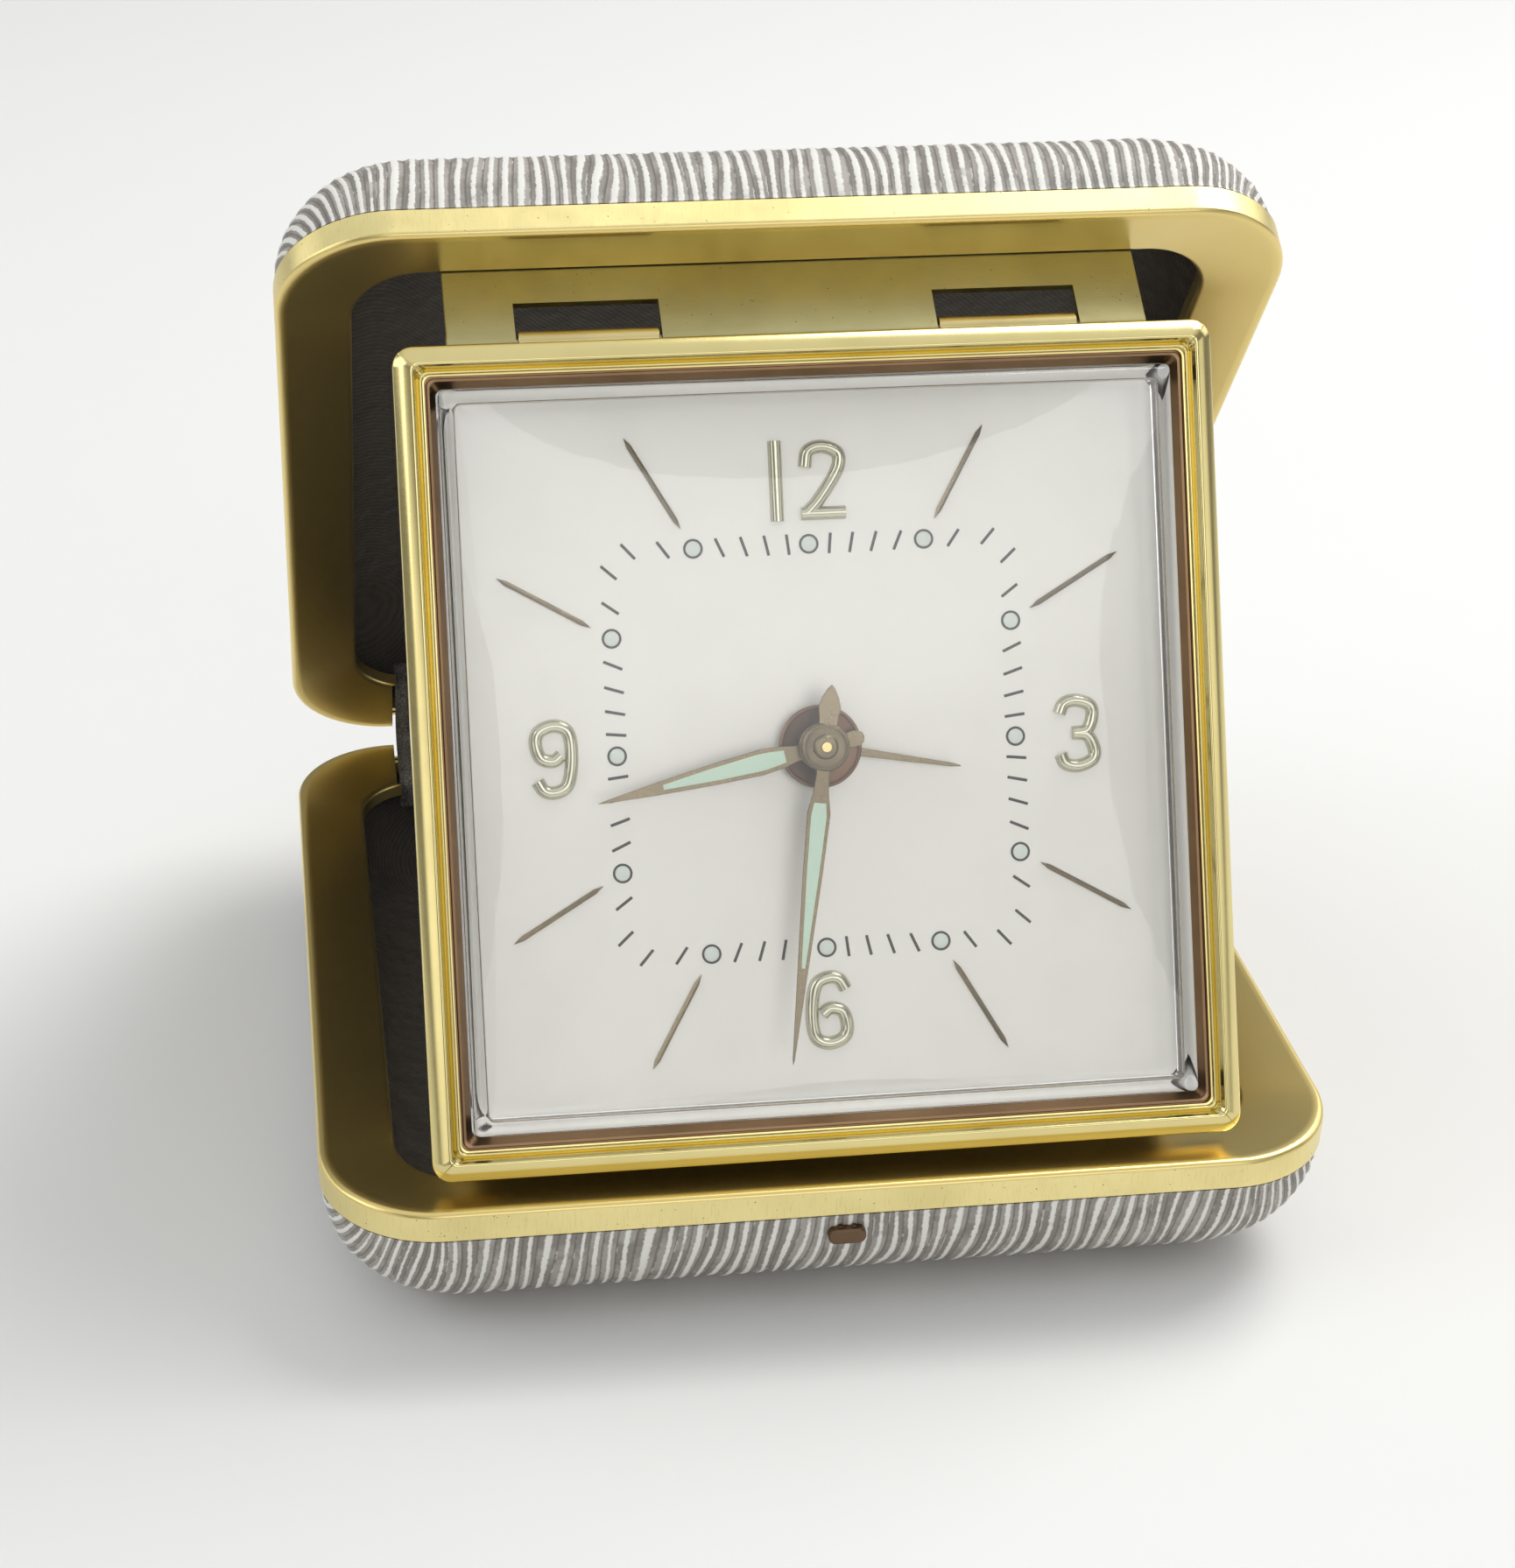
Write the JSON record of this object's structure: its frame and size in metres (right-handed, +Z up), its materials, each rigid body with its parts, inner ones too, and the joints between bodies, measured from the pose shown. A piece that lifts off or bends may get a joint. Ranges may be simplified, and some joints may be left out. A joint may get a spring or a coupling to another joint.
{
  "type": "folding travel alarm clock",
  "caption": "Folding wind-up travel alarm clock standing open: striped two-part case with brass rims, and a square clock head hung from the lid.",
  "frame": {"origin": "centre of the lower case's flat underside", "axes": "+X to the right as the dial is read, +Y towards the case hinge at the back, +Z up"},
  "size_m": [0.082, 0.0859, 0.083],
  "materials": {
    "striped_cover": "textile-backed vinyl with fine raised white lines on grey",
    "polished_brass": "polished, lightly worn",
    "pale_brass": "satin stamped",
    "steel": "brushed",
    "dark_steel": "blued spring steel",
    "lining_cloth": "dark grey flocked cloth",
    "grey_leatherette": "ribbed grey leatherette",
    "dark_bronze": "dark brown lacquer",
    "clear_crystal": "clear moulded box crystal",
    "gilt_steel": "gilt lacquered pressed steel",
    "silvered_dial": "satin silver-white",
    "movement_brass": "plain rolled brass",
    "hand_gilt": "gilt, with pale green luminous filling",
    "gilt_knobs": "bright gilt"
  },
  "bodies": {
    "lower_case": {"lower_cover": "striped_cover", "lower_shell": "steel", "lower_rim": "polished_brass", "lower_lining": "lining_cloth", "lower_hinge_leaf": "pale_brass", "lower_hinge_strip": "grey_leatherette", "case_hinge_pin": "steel", "catch_spring": "steel"},
    "catch": {"catch_button": "dark_bronze"},
    "upper_case": {"upper_cover": "striped_cover", "upper_shell": "steel", "upper_rim": "polished_brass", "upper_lining": "lining_cloth", "upper_hinge_leaf": "pale_brass", "upper_hinge_strip": "grey_leatherette", "catch_keeper": "steel", "hinge_plate": "pale_brass", "plate_rivet_left": "pale_brass", "plate_rivet_right": "pale_brass", "clock_hinge_pin": "steel"},
    "clock": {"bezel": "polished_brass", "inner_frame": "dark_bronze", "crystal": "clear_crystal", "rear_housing": "gilt_steel", "clock_hinge_leaf": "pale_brass", "dial": "silvered_dial", "front_plate": "movement_brass", "back_plate": "movement_brass", "case_screw_1": "steel", "case_screw_2": "steel", "case_screw_3": "steel", "case_screw_4": "steel"},
    "minute": {"minute_hand": "hand_gilt", "cannon_pinion": "steel"},
    "hour": {"hour_hand": "hand_gilt", "hour_wheel": "movement_brass"},
    "alarm": {"alarm_hand": "hand_gilt", "alarm_wheel": "movement_brass"},
    "minute_wheel": {"minute_wheel": "movement_brass"},
    "time_set": {"time_set_knob": "gilt_knobs"},
    "alarm_set": {"alarm_set_knob": "gilt_knobs"},
    "centre_wheel": {"centre_wheel": "movement_brass"},
    "third_wheel": {"third_wheel": "movement_brass"},
    "fourth_wheel": {"fourth_wheel": "movement_brass"},
    "escape_wheel": {"escape_wheel": "steel"},
    "time_barrel": {"time_barrel": "movement_brass", "time_mainspring": "dark_steel"},
    "time_winding": {"time_winding_arbor": "steel", "time_key": "gilt_knobs"},
    "alarm_barrel": {"alarm_barrel": "movement_brass", "alarm_mainspring": "dark_steel"},
    "alarm_winding": {"alarm_winding_arbor": "steel", "alarm_key": "gilt_knobs"},
    "strike_wheel": {"strike_wheel": "movement_brass"},
    "pallets": {"pallet_lever": "steel"},
    "balance": {"balance_wheel": "movement_brass", "hairspring": "dark_steel"},
    "hammer": {"alarm_hammer": "steel"},
    "regulator": {"regulator": "steel"},
    "alarm_stop": {"alarm_stop": "gilt_knobs"}
  },
  "joints": [
    {"name": "case_hinge", "type": "hinge", "parent": "lower_case", "child": "upper_case", "pos_m": [0, 0.0406, 0.0135], "axis": [-1, 0, 0], "range_deg": [0, 50]},
    {"name": "clock_fold", "type": "hinge", "parent": "upper_case", "child": "clock", "pos_m": [0, -0.00424, 0.07092], "axis": [1, 0, 0], "range_deg": [0, 60]},
    {"name": "catch_press", "type": "slide", "parent": "lower_case", "child": "catch", "axis": [0, 1, 0], "range_m": [0, 0.0008], "stiffness_N_per_m": 400, "springref_m": -0.001},
    {"name": "minute_spin", "type": "hinge", "parent": "clock", "child": "minute", "pos_m": [0, -0.01549, 0.0402], "axis": [0, 0.8942, -0.4478], "continuous": true},
    {"name": "hour_spin", "type": "hinge", "parent": "clock", "child": "hour", "pos_m": [0, -0.01549, 0.0402], "axis": [0, 0.8942, -0.4478], "continuous": true},
    {"name": "minute_wheel_spin", "type": "hinge", "parent": "clock", "child": "minute_wheel", "pos_m": [0.003, -0.01781, 0.03556], "axis": [0, 0.8942, -0.4478], "continuous": true},
    {"name": "time_set_spin", "type": "hinge", "parent": "clock", "child": "time_set", "pos_m": [0.0088, -0.01851, 0.03417], "axis": [0, 0.8942, -0.4478], "continuous": true},
    {"name": "alarm_spin", "type": "hinge", "parent": "clock", "child": "alarm", "pos_m": [0, -0.01549, 0.0402], "axis": [0, 0.8942, -0.4478], "continuous": true},
    {"name": "alarm_set_spin", "type": "hinge", "parent": "clock", "child": "alarm_set", "pos_m": [-0.00483, -0.01367, 0.04382], "axis": [0, 0.8942, -0.4478], "continuous": true},
    {"name": "third_spin", "type": "hinge", "parent": "clock", "child": "third_wheel", "pos_m": [0.0027, -0.01339, 0.04438], "axis": [0, 0.8942, -0.4478], "continuous": true},
    {"name": "centre_spin", "type": "hinge", "parent": "clock", "child": "centre_wheel", "pos_m": [0, -0.01549, 0.0402], "axis": [0, 0.8942, -0.4478], "continuous": true},
    {"name": "fourth_spin", "type": "hinge", "parent": "clock", "child": "fourth_wheel", "pos_m": [0.00772, -0.01379, 0.04359], "axis": [0, 0.8942, -0.4478], "continuous": true},
    {"name": "escape_spin", "type": "hinge", "parent": "clock", "child": "escape_wheel", "pos_m": [0.01093, -0.0155, 0.04017], "axis": [0, 0.8942, -0.4478], "continuous": true},
    {"name": "time_barrel_spin", "type": "hinge", "parent": "clock", "child": "time_barrel", "pos_m": [-0.00688, -0.01765, 0.03589], "axis": [0, 0.8942, -0.4478], "continuous": true},
    {"name": "time_winding", "type": "hinge", "parent": "clock", "child": "time_winding", "pos_m": [-0.00688, -0.01765, 0.03589], "axis": [0, 0.8942, -0.4478], "continuous": true},
    {"name": "alarm_barrel_spin", "type": "hinge", "parent": "clock", "child": "alarm_barrel", "pos_m": [-0.0055, -0.00989, 0.05138], "axis": [0, 0.8942, -0.4478], "continuous": true},
    {"name": "strike_spin", "type": "hinge", "parent": "clock", "child": "strike_wheel", "pos_m": [0.00042, -0.00893, 0.0533], "axis": [0, 0.8942, -0.4478], "continuous": true},
    {"name": "alarm_winding", "type": "hinge", "parent": "clock", "child": "alarm_winding", "pos_m": [-0.0055, -0.00989, 0.05138], "axis": [0, 0.8942, -0.4478], "continuous": true},
    {"name": "pallet_swing", "type": "hinge", "parent": "clock", "child": "pallets", "pos_m": [0.01328, -0.01733, 0.03653], "axis": [0, 0.8942, -0.4478], "range_deg": [-4, 4]},
    {"name": "balance_swing", "type": "hinge", "parent": "clock", "child": "balance", "pos_m": [0.01603, -0.01946, 0.03227], "axis": [0, 0.8942, -0.4478], "range_deg": [-150, 150], "stiffness_Nm_per_rad": 0.0000002},
    {"name": "hammer_swing", "type": "hinge", "parent": "clock", "child": "hammer", "pos_m": [0.0085, -0.00832, 0.05451], "axis": [0, 0.8942, -0.4478], "range_deg": [-6, 8]},
    {"name": "regulator_turn", "type": "hinge", "parent": "clock", "child": "regulator", "pos_m": [0.01603, -0.01946, 0.03227], "axis": [0, 0.8942, -0.4478], "range_deg": [-18, 18]},
    {"name": "alarm_stop_slide", "type": "slide", "parent": "clock", "child": "alarm_stop", "axis": [1, 0, 0], "range_m": [0, 0.003]}
  ],
  "couplings": [
    {"joint": "hour_spin", "follows": "minute_spin", "ratio": 0.083333},
    {"joint": "minute_wheel_spin", "follows": "minute_spin", "ratio": -0.33333},
    {"joint": "time_set_spin", "follows": "minute_spin", "ratio": 1},
    {"joint": "alarm_set_spin", "follows": "alarm_spin", "ratio": -3.2},
    {"joint": "third_spin", "follows": "fourth_spin", "ratio": -0.13333},
    {"joint": "centre_spin", "follows": "fourth_spin", "ratio": 0.016667},
    {"joint": "time_barrel_spin", "follows": "fourth_spin", "ratio": -0.0027778},
    {"joint": "escape_spin", "follows": "fourth_spin", "ratio": -8},
    {"joint": "strike_spin", "follows": "alarm_barrel_spin", "ratio": -6}
  ]
}
